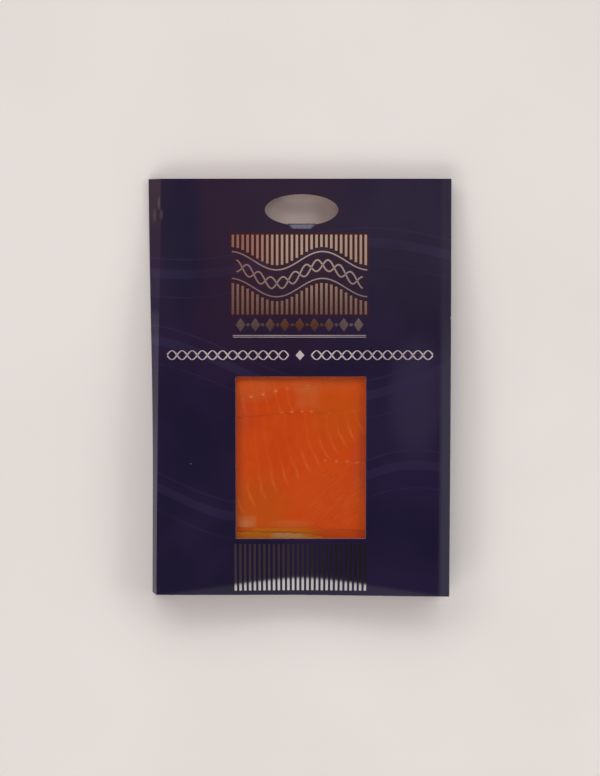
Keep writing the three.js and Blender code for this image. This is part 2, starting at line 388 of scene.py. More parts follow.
# The lines of each wave: place across it, half width, half width with its soft edge, strength.
GHOST_LINES = [(0.0, 2.3, 3.0, 0.85), (8.5, 0.35, 0.75, 0.7), (-13.0, 0.30, 0.65, 0.55)]

# The brown ground between the foil stripes: its sides, its ends and its soft edge.
BROWN_GROUND = {"half_width": 39.0, "low": 42.0, "high": 88.5, "soft": 1.0}


def ghost_wave(g, x, y, wave):
    """1 on a broad band, with a thin line along each side of it."""
    middle, swing, length, crest = wave
    turn = g.times(g.minus(x, crest), 2 * math.pi / length)
    off = g.minus(y, g.linear(g.math("COSINE", turn), swing, middle))
    shown = 0.0
    for across, half, edge, strength in GHOST_LINES:
        shown = g.most(shown, g.ramp(g.size(g.minus(off, across)), half, edge, strength, 0.0))
    return shown


def brown_share(g, x, y):
    """How brown the ground of the foil block is: fully between the stripes, faintly in the wave."""
    side, low, high, soft = (BROWN_GROUND[key] for key in ("half_width", "low", "high", "soft"))
    in_block = g.times(g.fall(g.size(x), side - soft, side + soft), g.ramp(y, low - soft, low + soft),
                       g.fall(y, high - soft, high + soft))
    swing = g.math("SINE", g.times(g.minus(x, PRINT_AXIS), 2 * math.pi / WAVE_BAND["period"]))
    off_wave = g.minus(y, g.linear(swing, WAVE_BAND["amplitude"], WAVE_BAND["y"]))
    past_wave = g.ramp(g.size(off_wave), WAVE_BAND["half"] - 0.6, WAVE_BAND["half"], 0.12, 0.92)
    return g.times(in_block, past_wave)


def card_print(g, vector, x, y):
    """The printed colour of the card."""
    clouds = g.noise(vector, 22.0)
    left_of_middle = g.spot(x, y, (-22.0, 100.0), (66.0, 130.0))
    plum = g.times(g.linear(g.ramp(y, -80.0, 100.0), 0.45, left_of_middle), 0.6)
    colour = g.mix(g.ramp(clouds, 0.35, 0.65), NAVY, VIOLET)
    colour = g.mix(g.times(plum, g.ramp(clouds, 0.25, 0.6, 0.5, 1.0)), colour, PLUM)
    for tone_x, tone_y, half_x, half_y, tone, strength in PRINT_TONES:
        share = g.times(g.spot(x, y, (tone_x, tone_y), (half_x, half_y)), strength)
        colour = g.mix(share, colour, tone)
    for wave in GHOST_WAVES:
        share = g.times(ghost_wave(g, x, y, wave), g.ramp(clouds, 0.3, 0.6, 0.2, 0.6))
        colour = g.mix(share, colour, GHOST)
    # painted sheen along the right fold, stronger towards the bottom end
    fold_sheen = g.times(g.ramp(x, 78.5, 82.0), g.ramp(y, -10.0, 60.0, 1.0, 0.25))
    colour = g.mix(fold_sheen, colour, FOLD_SHEEN)
    return g.mix(brown_share(g, x, y), colour, BROWN)


def laminate_normal(g, vector):
    """Fine grain of the film on the card, and the board's slow waves."""
    grain = g.noise(vector, 2600.0)
    waves = g.streaks(vector, (24.0, 12.0, 24.0), 1.0)
    return g.bump(g.linear(grain, 0.010, waves), 0.0006, 0.4)


def printed_card():
    g = Material("printed_card")
    vector, x, y = g.place()
    crumbs = g.noise(vector, 1100.0, 4.0, 0.7)
    worn = 0.0
    for scuff_x, scuff_y, half_x, half_y, strength in SCUFFS:
        patch = g.spot(x, y, (scuff_x, scuff_y), (half_x, half_y))
        ragged = g.times(g.ramp(g.plus(patch, crumbs), 0.95, 1.25), g.ramp(patch, 0.0, 0.3))
        worn = g.most(worn, g.times(ragged, strength))
    colour = g.mix(worn, card_print(g, vector, x, y), WORN)
    roughness = g.plus(g.linear(g.noise(vector, 60.0, 3.0), 0.08, 0.12), g.times(worn, 0.4))
    normal = laminate_normal(g, vector)
    return g.finished({"Base Color": colour, "Roughness": roughness, "IOR": CARD_IOR, "Normal": normal})


def creased_card_sheen():
    """The print on the lip: a painted sheen on its slope, stopping short of the end, where the dark print
    left there stands for a painted shadow line.
    """
    g = Material("creased_card_sheen")
    vector, _, y = g.place()
    streaks = g.streaks(vector, (900.0, 260.0, 900.0), 3.0)
    shadow_line_y = HANG_HOLE["flat_y"] + LIP["beyond"] - 0.5
    on_slope = g.times(g.ramp(y, HINGE_Y - 0.3, HINGE_Y + 0.7), g.fall(y, shadow_line_y, shadow_line_y + 0.15))
    colour = g.mix(g.times(on_slope, g.ramp(streaks, 0.2, 0.6, 0.7, 1.0)), NAVY, LIP_SHEEN)
    return g.finished({"Base Color": colour, "Roughness": 0.5, "IOR": DULL_IOR})


def die_cut_edge():
    """The thin line where the die has crushed the print into the board, its colour darkened with painted
    shade.
    """
    g = Material("die_cut_edge")
    crumbs = g.noise(g.place()[0], 700.0, 3.0)
    colour = g.mix(g.ramp(crumbs, 0.35, 0.65), *CUT_EDGE_SHADED)
    return g.finished({"Base Color": colour, "Roughness": 0.7, "IOR": DULL_IOR})


def board_core():
    g = Material("board_core")
    fibres = g.streaks(g.place()[0], (1800.0, 500.0, 1800.0), 4.0)
    colour = g.mix(g.ramp(fibres, 0.3, 0.7), *BOARD_TONES)
    return g.finished({"Base Color": colour, "Roughness": 0.85, "Normal": g.bump(fibres, 0.00005, 0.6)})


def foil_finish(g, vector, colour, metallic=1.0, dullness=0.11):
    roughness = g.linear(g.noise(vector, 1500.0), 0.05, dullness)
    normal = laminate_normal(g, vector)
    return g.finished({"Base Color": colour, "Metallic": metallic, "Roughness": roughness,
                       "Normal": normal})


COPPER = (0.72, 0.34, 0.31)
CHAMPAGNE = (0.92, 0.69, 0.56)
TAN = (0.84, 0.60, 0.50)
MAUVE_FOIL = (0.74, 0.52, 0.52)
EMBER = (0.88, 0.34, 0.20)
SILVER = [(0.67, 0.60, 0.635), (0.73, 0.665, 0.665)]
INK = [(0.62, 0.50, 0.54), (0.74, 0.66, 0.66)]


def rose_foil():
    g = Material("rose_foil")
    vector, x, y = g.place()
    colour = g.mix(g.ramp(x, -30.0, -4.0), COPPER, CHAMPAGNE)
    colour = g.mix(g.ramp(x, 8.0, 36.0), colour, TAN)
    colour = g.mix(g.ramp(y, 44.0, 76.0, 0.8, 0.0), colour, MAUVE_FOIL)
    colour = g.mix(g.spot(x, y, (0.0, 37.0), (26.0, 6.0)), colour, EMBER)
    return foil_finish(g, vector, colour)


def silver(name, tones, drift, **finish):
    """A foil or ink whose colour drifts between two tones."""
    g = Material(name)
    vector = g.place()[0]
    colour = g.mix(g.ramp(g.noise(vector, drift), 0.35, 0.65), *tones)
    return foil_finish(g, vector, colour, **finish)


# ---- Materials of the pouch ----

ORANGE = (0.770, 0.0960, 0.0100)
ORANGE_DEEP = (0.730, 0.0800, 0.0085)
SEAM = (0.800, 0.1750, 0.0360)
BEAD_HIGHLIGHT = (0.880, 0.3400, 0.1200)
PINK = (0.660, 0.0760, 0.0240)
CREAM = (0.640, 0.2100, 0.0660)
OLIVE = (0.640, 0.1120, 0.0085)
DARK_RED = (0.480, 0.0400, 0.0150)
OIL_GOLD = (0.680, 0.2100, 0.0130)
OIL_CREAM = (0.660, 0.3500, 0.1350)
FILM_MIRROR = 0.03  # how much light the film throws back straight on


def smoked_fish():
    g = Material("smoked_fish")
    vector, x, y = g.place()
    blotch = g.noise(vector, 60.0, 4.0, 0.6)
    colour = g.mix(g.ramp(blotch, 0.3, 0.7), ORANGE_DEEP, ORANGE)
    for name, tone in (("olive", OLIVE), ("pink", PINK), ("dark", DARK_RED)):
        colour = g.mix(g.attribute(name), colour, tone)
    streaks = g.streaks(vector, (900.0, 180.0, 400.0), 2.0)
    slants = g.streaks(vector, (130.0, 1300.0, 400.0), 2.0, 0.65)
    pale = g.times(g.attribute("cream"), g.ramp(streaks, 0.3, 0.7, 0.8, 1.1))
    # painted sheen: pale slanting streaks for the film's wrinkles at the lower right
    wrinkle_sheen = g.times(g.spot(x, y, (25.0, -64.0), (34.0, 25.0)), g.ramp(slants, 0.42, 0.7, 0.0, 0.25))
    colour = g.mix(g.plus(pale, wrinkle_sheen), colour, CREAM)
    colour = g.mix(g.attribute("gold"), colour, OIL_GOLD)

    wobble = g.times(g.minus(g.noise(vector, 200.0), 0.5), 0.22)
    fraction = g.math("FRACT", g.plus(g.attribute("muscle_phase"), wobble))
    from_line = g.size(g.minus(fraction, 0.5))
    broad = g.ramp(from_line, 0.20, 0.50)
    broken = g.ramp(g.noise(vector, 130.0, 3.0), 0.36, 0.62, 0.25, 1.0)
    gain = g.attribute("muscle_gain")
    line = g.times(g.ramp(from_line, 0.37, 0.5), broken, gain)
    colour = g.mix(g.linear(line, 0.6, g.times(broad, gain, 0.22)), colour, SEAM)
    # painted highlights on the small bumps along the slices' edges
    colour = g.mix(g.attribute("bead"), colour, BEAD_HIGHLIGHT)

    fibres = g.streaks(vector, (700.0, 2200.0, 700.0), 3.0, 0.35)
    height = g.linear(broad, 0.5, g.times(fibres, 0.2))
    inputs = {"Base Color": colour, "Roughness": g.linear(blotch, 0.2, 0.38), "IOR": DULL_IOR,
              "Normal": g.bump(height, 0.0001, 0.4), "Subsurface Weight": 0.15,
              "Subsurface Radius": (1.0, 0.35, 0.15), "Subsurface Scale": 0.0012}
    return g.finished(inputs)


def backing():
    """The card under the slices, with their golden oil on it."""
    g = Material("backing_card")
    vector, x, y = g.place()
    stain = g.ramp(g.noise(vector, 120.0, 3.0), 0.35, 0.75, 0.8, 1.0)
    pale = g.times(g.ramp(x, -18.0, -13.0), g.fall(x, -2.0, 8.0), stain)
    colour = g.mix(pale, OIL_GOLD, OIL_CREAM)
    colour = g.mix(g.times(g.spot(x, y, (-30.5, -81.2), (4.5, 2.0)), 0.5), colour, CREAM)
    return g.finished({"Base Color": colour, "Roughness": 0.5, "IOR": DULL_IOR})


def clear_film():
    """A thin clear film: see-through straight on, and mirror-like at a glance."""
    g = Material("clear_film")
    vector, x, y = g.place()
    fine = g.streaks(vector, (420.0, 1500.0, 420.0), 3.0, -0.9)
    wrinkled = g.spot(x, y, (24.0, -66.0), (30.0, 24.0))
    coarse = g.noise(vector, 150.0)
    normal = g.bump(g.linear(fine, g.linear(wrinkled, 0.8, 0.10), coarse), 0.0004, 0.5)
    facing = g.add("LayerWeight", {"Blend": 0.5, "Normal": normal}).outputs["Facing"]
    alpha = g.linear(g.math("POWER", facing, 5.0), 1 - FILM_MIRROR, FILM_MIRROR)
    inputs = {"Base Color": (1.0, 1.0, 1.0), "Metallic": 1.0, "Roughness": 0.12, "Alpha": alpha,
              "Normal": normal}
    return g.finished(inputs)


# ---- Card sleeve ----

PANEL_STEPS = 108
CAVITY_STEPS = 40
ROWS = {"bent_end": 16.0, "step": 0.8, "beyond": 132}
BETWEEN_PLIES = 2 * BOARD  # a height inside the sleeve, where each ply's cutters end
CLEAR_HEIGHT = 14.0  # above the whole pack
CUTTER_FLARE = {"out": 0.12, "up": 0.1}  # how the cutters widen just above the panel
CREASE_ROUND = 0.5
CREASE_DROP = 0.02
BACK_FOLD = {"inset": 0.6, "round": 0.35}
END_FACE = 0.8  # a face turned this far to +Y or -Y is cut across the card
PANEL_INSET = {"left": 1.0, "right": NOSE * 0.6}
PANEL_CLOSE = 0.02  # a point this close to the front height lies on the front panel
CAVITY_EASE = {"crease": 0.3, "back": 0.2}
SLOT_REACH = {"down": 1.2, "up": 3.0}  # of the cutter for the lip's slot
PRINT, CORE, CREASED, DIE_CUT = range(4)  # material slots of the card

# The crumple: its middle, slant, reach and lowest height, then each fold's depth, place and width.
CRUMPLE = {"x": -82.0, "y": 102.5, "slope": 0.8, "reach": 3.0, "lowest": 1.2}
CRUMPLE_FOLDS = [(0.2, -1.6, 1.2), (-0.12, 1.2, 1.4)]


def row_shares(first, last):
    """Where the rings lie, as shares of the length: closer together at the bent end."""
    close = np.arange(first, ROWS["bent_end"], ROWS["step"])
    far = np.linspace(ROWS["bent_end"], last, ROWS["beyond"])
    return np.concatenate([close, far]) / LENGTH


def ring_point(x, share, z):
    low = bottom_edge(x)
    return (x, low + (HALF_LENGTH - low) * share, z)


def dent(x, y):
    """A small slanting crumple in the spine panel near the hanging end."""
    across = (y - CRUMPLE["y"]) - CRUMPLE["slope"] * (x - CRUMPLE["x"])
    on_spine = np.exp(-(((x - CRUMPLE["x"]) / CRUMPLE["reach"]) ** 2))
    return on_spine * sum(
        depth * np.exp(-(((across - middle) / width) ** 2)) for depth, middle, width in CRUMPLE_FOLDS
    )


def between(a, b, share):
    return (a[0] + (b[0] - a[0]) * share, a[1] + (b[1] - a[1]) * share)


def fold_places(share):
    """Where the long folds cross one ring, and the slant of the side panels in radians."""
    at = section(bottom_edge(0.0) * (1 - share) + HALF_LENGTH * share)
    return [float(at[key]) for key in ("left", "right", "crease", "back_right", "slant")]


def outer_ring(share):
    left, right, crease, back_right, slant = fold_places(share)
    slant = math.degrees(slant)
    y_at = lambda x: ring_point(x, share, 0)[1]
    top = lambda x: float(front_height(x, y_at(x)))
    nose = NOSE / 2
    panel_end = crease + CREASE_ROUND * 1.2
    back_x, back_round = back_right - BACK_FOLD["inset"], BACK_FOLD["round"]
    profile = [(left + nose, 0.0), (back_x, 0.0)]
    profile += arc_points(back_x, back_round, back_round, -75, slant - 90, 3)
    profile += arc_points(right - nose, top(right - nose) - nose, nose, slant - 90, 85, 8)
    profile += [(x, top(x)) for x in np.linspace(right - nose, panel_end, PANEL_STEPS + 1)]
    crease_z = top(panel_end) - CREASE_ROUND - CREASE_DROP
    profile += arc_points(crease + CREASE_ROUND * 0.6, crease_z, CREASE_ROUND, 95, 90 + slant, 5)
    spine_low = arc_points(left + nose, nose, nose, 90 + slant, 260, 8)
    profile += [between(profile[-1], spine_low[0], s) for s in (0.2, 0.4, 0.6, 0.8)]
    profile += spine_low
    dented = lambda x, z: z - dent(x, y_at(x)) if z > CRUMPLE["lowest"] else z
    return [ring_point(x, share, max(dented(x, z), 0.0)) for x, z in profile]


def cavity_ring(share):
    left, right, crease, back_right, slant = fold_places(share)
    inset = BOARD * math.tan(slant / 2)
    panel_end = crease + inset + CAVITY_EASE["crease"]
    panel = np.linspace(right - FOLD - inset - BOARD, panel_end, CAVITY_STEPS + 1)
    ease = CAVITY_EASE["back"]
    profile = [(left + FOLD + inset + ease, BOARD), (back_right - inset - ease, BOARD)]
    profile += [(x, float(front_height(x, ring_point(x, share, 0)[1])) - BOARD) for x in panel]
    return [ring_point(x, share, z) for x, z in profile]


def upright(name, rings, materials, bands):
    """A block through counter-clockwise rings, lowest first. bands gives each side's material slot."""
    count = len(rings[0])
    faces, slots = [], []
    for r, slot_number in enumerate(bands):
        a, b = r * count, (r + 1) * count
        faces += [[a + i, a + (i + 1) % count, b + (i + 1) % count, b + i] for i in range(count)]
        slots += [slot_number] * count
    last = (len(rings) - 1) * count
    faces += [list(range(count - 1, -1, -1)), list(range(last, last + count))]
    slots += [CORE, CORE]
    points = np.concatenate([np.asarray(ring, float) for ring in rings])
    return new_object(name, points, faces, materials, slots)


def level_ring(outline, z):
    return [(x, y, z) for x, y in outline]


def prism(name, outline, low_z, high_z, materials, slot_number):
    rings = [level_ring(outline, low_z), level_ring(outline, high_z)]
    return upright(name, rings, materials, [slot_number])


def front_cutter(name, outline_at, edge, materials):
    """Cuts the front panel along an outline, with a sloping edge. outline_at takes a margin."""
    foot, head = outline_at(edge["foot"]), outline_at(edge["head"])
    above = outline_at(edge["head"] + CUTTER_FLARE["out"])
    over_front = lambda outline, rise: [(x, y, float(front_height(x, y)) + rise) for x, y in outline]
    rings = [
        level_ring(foot, BETWEEN_PLIES),
        over_front(foot, -edge["depth"]),
        over_front(head, 0.0),
        over_front(above, CUTTER_FLARE["up"]),
        level_ring(above, CLEAR_HEIGHT),
    ]
    return upright(name, rings, materials, [CORE, DIE_CUT, DIE_CUT, DIE_CUT])


def window_outline(margin, corner_steps=8, side_steps=39):
    half_x, half_y = WINDOW["width"] / 2 + margin, WINDOW["height"] / 2 + margin
    corner = WINDOW["corner"] + margin
    points = []
    for quarter, (sx, sy) in enumerate([(1, 1), (-1, 1), (-1, -1), (1, -1)]):
        x = WINDOW["x"] + sx * (half_x - corner)
        y = WINDOW["y"] + sy * (half_y - corner)
        points += arc_points(x, y, corner, 90 * quarter, 90 * quarter + 90, corner_steps)
    shares = np.linspace(0.0, 1.0, side_steps + 1)[1:-1]
    dense = []
    for a, b in zip(points, points[1:] + points[:1]):
        dense.append(a)
        if math.dist(a, b) > half_x:
            dense += [between(a, b, s) for s in shares]
    return dense


def oval_outline(margin, flat_y, steps=110):
    half_x, half_y = HANG_HOLE["width"] / 2 + margin, HANG_HOLE["height"] / 2 + margin
    flat_angle = math.asin((flat_y - HANG_HOLE["y"]) / half_y)
    angles = np.linspace(flat_angle, math.pi - flat_angle, steps + 1)
    return [(HANG_HOLE["x"] + half_x * math.cos(a), HANG_HOLE["y"] + half_y * math.sin(a)) for a in angles]


def lip_slot_outline():
    x, edge_y = LIP["x"], HANG_HOLE["flat_y"]
    hinge, tip = (LIP[key] / 2 + LIP["slit"] for key in ("hinge_width", "tip_width"))
    beyond = edge_y + 2 * HOLE_EDGE["head"]
    return [(x - hinge, HINGE_Y), (x + hinge, HINGE_Y), (x + tip, edge_y), (x + tip, beyond),
            (x - tip, beyond), (x - tip, edge_y)]


def smooth_print_normals(sleeve):
    """Smooth the printed faces by the panel's own slope, and leave cut faces of the board flat."""
    mesh = sleeve.data
    count = len(mesh.vertices)
    points = np.zeros(count * 3)
    mesh.vertices.foreach_get("co", points)
    points = points.reshape(-1, 3) / MM
    sums = np.zeros((count, 3))
    faces = list(mesh.polygons)
    across_end = [abs(face.normal.y) > END_FACE for face in faces]
    for face, end in zip(faces, across_end):
        if face.material_index == PRINT and not end:
            for v in face.vertices:
                sums[v] += np.array(face.normal) * face.area
    lengths = np.linalg.norm(sums, axis=1, keepdims=True)
    normals = sums / np.maximum(lengths, 1e-12)
    at = section(points[:, 1])
    x, y, z = points.T
    on_panel = (x > at["crease"] + PANEL_INSET["left"]) & (x < at["right"] - PANEL_INSET["right"])
    on_panel &= np.abs(z - front_height(x, y)) < PANEL_CLOSE
    normals[on_panel] = front_normal(x[on_panel], y[on_panel])
    loops = np.zeros((len(mesh.loops), 3))
    for face, end in zip(faces, across_end):
        flat = face.material_index != PRINT or end
        for loop in face.loop_indices:
            loops[loop] = face.normal if flat else normals[mesh.loops[loop].vertex_index]
    mesh.normals_split_custom_set(loops.tolist())


def card_sleeve(materials):
    rings = [outer_ring(share) for share in row_shares(0.0, LENGTH)]
    sleeve = loft("sleeve", rings, materials, PRINT)
    inner = [cavity_ring(share) for share in row_shares(END_WALL, LENGTH - END_WALL)[::4]]
    inner.append(cavity_ring((LENGTH - END_WALL) / LENGTH))
    cavity = loft("cavity", inner, materials, CORE)
    flat_y, margin = HANG_HOLE["flat_y"], HANG_HOLE["back_margin"]
    slot_top = float(front_height(LIP["x"], flat_y))
    cut(
        sleeve,
        [
            cavity,
            front_cutter("window_cutter", window_outline, WINDOW_EDGE, materials),
            front_cutter("front_hole", lambda edge: oval_outline(edge, flat_y - edge), HOLE_EDGE, materials),
            prism("back_hole", oval_outline(margin, flat_y - margin), -2.0, BETWEEN_PLIES, materials, CORE),
            prism("lip_slot", lip_slot_outline(), slot_top - SLOT_REACH["down"],
                  slot_top + SLOT_REACH["up"], materials, CREASED),
        ],
    )
    smooth_print_normals(sleeve)
    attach(sleeve, BODY)
    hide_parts("card_sleeve")


def lip_path():
    """Points along the lip, as (y, drop below the hinge, slope in degrees)."""
    slope, tail_slope = LIP["slope"], LIP_TAIL["slope"]
    fall = math.tan(math.radians(slope))
    reach = LIP["length"] + LIP["beyond"]
    path = [(HINGE_Y - 0.3, 0.0, 0.0), (HINGE_Y, 0.02, slope * 0.35)]
    path += [(HINGE_Y + run, run * fall, slope) for run in np.linspace(0.3, reach - 0.2, 6)]
    y, drop = HINGE_Y + reach, reach * fall
    path.append((y, drop, (slope + tail_slope) / 2))
    steep = math.radians(tail_slope)
    for run in np.linspace(0.15, LIP_TAIL["length"], 4):
        path.append((y + run * math.cos(steep), drop + run * math.sin(steep), tail_slope))
    return path


def hole_lip(materials):
    """The flap's hinge: a strip of card that slopes down into the hole."""
    y, drop, slope = np.array(lip_path()).T[:, :, None]
    share = np.clip((y - HINGE_Y) / LIP["length"], 0.0, 1.0)
    width = LIP["hinge_width"] + (LIP["tip_width"] - LIP["hinge_width"]) * share
    x = LIP["x"] + np.linspace(-0.5, 0.5, 9) * width
    turn = np.radians(slope)
    surface = front_height(x, HINGE_Y)
    sides = [
        np.stack([x, y - depth * np.sin(turn) + 0 * x, surface - drop - depth * np.cos(turn)], axis=-1)
        for depth in (0.0, BOARD)
    ]
    rows, columns = x.shape
    flat = (rows - 1) * (columns - 1)
    slots = [CREASED] * flat + [CORE] * (flat + 2 * (columns - 1)) + [CREASED] * (2 * (rows - 1))
    faces = grid_solid_faces(columns, rows)
    new_piece("hole_lip", np.concatenate(sides).reshape(-1, 3), faces, materials, slots)


# ---- Print on the front ----


def lifted(x, y):
    return (x, y, float(front_height(x, y)) + PRINT_LIFT)


class PrintSheet:
    """Collects thin flat shapes that follow the front panel, for one piece."""

    def __init__(self):
        self.points = []
        self.faces = []

    def band(self, left, right):
        """A strip between two rows of (x, y) points."""
        start = len(self.points)
        for a, b in zip(left, right):
            self.points += [lifted(*a), lifted(*b)]
        for i in range(len(left) - 1):
            k = start + 2 * i
            self.faces.append([k, k + 1, k + 3, k + 2])

    def stripe(self, x, low, high, width, step=1.5):
        if high - low < 0.3:
            return
        ys = np.linspace(low, high, max(int((high - low) / step), 1) + 1)
        self.band([(x - width / 2, y) for y in ys], [(x + width / 2, y) for y in ys])

    def line(self, path, width):
        """A ribbon along a path."""
        path = np.asarray(path, float)
        along = np.gradient(path, axis=0)
        along /= np.linalg.norm(along, axis=1, keepdims=True)
        side = np.stack([-along[:, 1], along[:, 0]], axis=1)
        widths = np.broadcast_to(np.asarray(width, float), (len(path),))[:, None]
        self.band((path + side * widths / 2).tolist(), (path - side * widths / 2).tolist())

    def fan(self, outline, centre):
        start = len(self.points)
        self.points.append(lifted(*centre))
        self.points += [lifted(*p) for p in outline]
        count = len(outline)
        self.faces += [[start, start + 1 + i, start + 1 + (i + 1) % count] for i in range(count)]

    def lozenge(self, x, y, width, height):
        self.fan([(x + width / 2, y), (x, y + height / 2), (x - width / 2, y), (x, y - height / 2)], (x, y))

    def dot(self, x, y, radius, steps=20):
        turns = np.linspace(0, 2 * math.pi, steps, endpoint=False)
        self.fan([(x + radius * math.cos(t), y + radius * math.sin(t)) for t in turns], (x, y))

    def piece(self, name, slot, material):
        made = new_piece(name, self.points, self.faces, [material])
        points = np.array(self.points)
        normals = front_normal(points[:, 0], points[:, 1])
        made.data.normals_split_custom_set_from_vertices(normals.tolist())


def stripe_places(block):
    first = block["x"] - block["pitch"] * (STRIPE_COUNT - 1) / 2
    return [first + block["pitch"] * i for i in range(STRIPE_COUNT)]


def wave_height(x):
    turn = 2 * math.pi * (x - PRINT_AXIS) / WAVE_BAND["period"]
    return WAVE_BAND["y"] + WAVE_BAND["amplitude"] * math.sin(turn)


def foil_block(material):
    """Upright stripes, parted by a broad dark wave with thin wavy lines in it."""
    sheet = PrintSheet()
    width = FOIL_BLOCK["pitch"] * STRIPE_SHARE
    for x in stripe_places(FOIL_BLOCK):
        middle = wave_height(x)
        sheet.stripe(x, middle + WAVE_BAND["half"], FOIL_BLOCK["high"], width)
        sheet.stripe(x, FOIL_BLOCK["low"], middle - WAVE_BAND["half"], width)
    reach = FOIL_BLOCK["pitch"] * (STRIPE_COUNT - 0.5) / 2
    xs = np.linspace(PRINT_AXIS - reach, PRINT_AXIS + reach, 120)
    for offset in (-7.6, 7.6):
        sheet.line([(x, wave_height(x) + offset) for x in xs], WAVE_BAND["inner_line"])
    swing = WAVE_BAND["period"] / 4
    for turn in (0.0, math.pi):
        path = [(x, wave_height(x) + 3.2 * math.sin(2 * math.pi * x / swing + turn)) for x in xs[4:-4]]
        sheet.line(path, 0.9)
    sheet.piece("foil_block", "foil_print", material)


def lozenge_chain(material):
    sheet = PrintSheet()
    links = 9
    pitch = CHAIN["width"] / links
    first = PRINT_AXIS - pitch * (links - 1) / 2
    for i in range(links):
        sheet.lozenge(first + pitch * i, CHAIN["y"], pitch * 0.66, CHAIN["height"])
        if i < links - 1:
            sheet.dot(first + pitch * (i + 0.5), CHAIN["y"], 0.95)
    sheet.piece("lozenge_chain", "foil_print", material)


def double_rule(material):
    sheet = PrintSheet()
    half = RULE["width"] / 2
    xs = np.linspace(PRINT_AXIS - half, PRINT_AXIS + half, 60)
    for offset in (-RULE["spacing"] / 2, RULE["spacing"] / 2):
        sheet.line([(x, RULE["y"] + offset) for x in xs], RULE["line"])
    sheet.piece("double_rule", "silver_print", material)


def twist_border(material):
    """Two strands that cross again and again, in two halves beside a small lozenge."""
    sheet = PrintSheet()
    middle, y, start, reach = (TWIST[key] for key in ("x", "y", "gap", "reach"))
    turns = (reach - start) / TWIST["period"]
    shares = np.linspace(0.0, 1.0, 180)
    for side in (-1, 1):
        xs = middle + side * (start + (reach - start) * shares)
        for strand in (0.0, math.pi):
            swing = TWIST["swing"] * np.sin(2 * math.pi * turns * shares + strand)
            width = TWIST["line"] * (0.45 + 0.55 * np.abs(np.cos(2 * math.pi * turns * shares)))
            sheet.line(np.stack([xs, y + swing], axis=1)[::side], width[::side])
    sheet.lozenge(middle, y, 5.0, 5.6)
    sheet.piece("twist_border", "silver_print", material)


def foot_stripes(material):
    sheet = PrintSheet()
    width = FOOT_STRIPES["pitch"] * STRIPE_SHARE
    for x in stripe_places(FOOT_STRIPES):
        sheet.stripe(x, FOOT_STRIPES["low"], FOOT_STRIPES["high"], width, 0.7)
    sheet.piece("foot_stripes", "silver_print", material)


# ---- Slices ----

SEAM_ENDS = {"y": -50.2, "slope": 0.647}  # a slanted line: the seams turn aside and fade as they near it
LOW_SEAMS = {"pitch": 6.2, "shift": 4.2, "reach": 13.0, "y": -40.0, "lean": 0.15, "fan": 0.004}
HIGH_SEAMS = {"pitch": 6.6, "x": -13.73, "lean": 0.18}


def above_seam_ends(x, y):
    return y - (SEAM_ENDS["y"] + SEAM_ENDS["slope"] * x)


def low_seams(x, y):
    """Which muscle segment a place lies in: the seams run down and turn to the right at their ends.

    Each seam lies where the number is whole. The second value tells how well the seams show."""
    above = above_seam_ends(x, y)
    shift = LOW_SEAMS["shift"] * np.exp(np.minimum(-above, 5.0) / LOW_SEAMS["reach"])
    lean = (LOW_SEAMS["lean"] + LOW_SEAMS["fan"] * x) * (y - LOW_SEAMS["y"])
    bright = np.exp(-(((above - 6.5) / 7.0) ** 2))
    return (x - shift + lean) / LOW_SEAMS["pitch"], (0.2 + 0.7 * bright) * smooth_step(above, -3.0, 2.0)


def high_seams(x, y):
    """The same for the two upper slices, whose seams are straight and show best on the left."""
    phase = (x - HIGH_SEAMS["x"] + HIGH_SEAMS["lean"] * y) / HIGH_SEAMS["pitch"]
    return phase, 1 - 0.8 * smooth_step(x, -6.0, 2.0)


def soft_spot(x, y, centre, radii):
    square = ((x - centre[0]) / radii[0]) ** 2 + ((y - centre[1]) / radii[1]) ** 2
    return 1 - smooth_step(square, 0.0, 1.0)


def soft_box(x, y, low, high, softness):
    inside = np.minimum(np.minimum(x - low[0], high[0] - x), np.minimum(y - low[1], high[1] - y))
    return smooth_step(inside, -softness, softness)


def smooth_curve(places):
    """A smooth function through a few (x, y) places."""
    xs, ys = np.array(places, float).T
    kernel = np.hanning(41)
    fine = np.linspace(xs[0], xs[-1], 400)
    padded = np.pad(np.interp(fine, xs, ys), 20, mode="edge")
    smooth = np.convolve(padded, kernel / kernel.sum(), mode="valid")
    return lambda x: np.interp(x, fine, smooth)


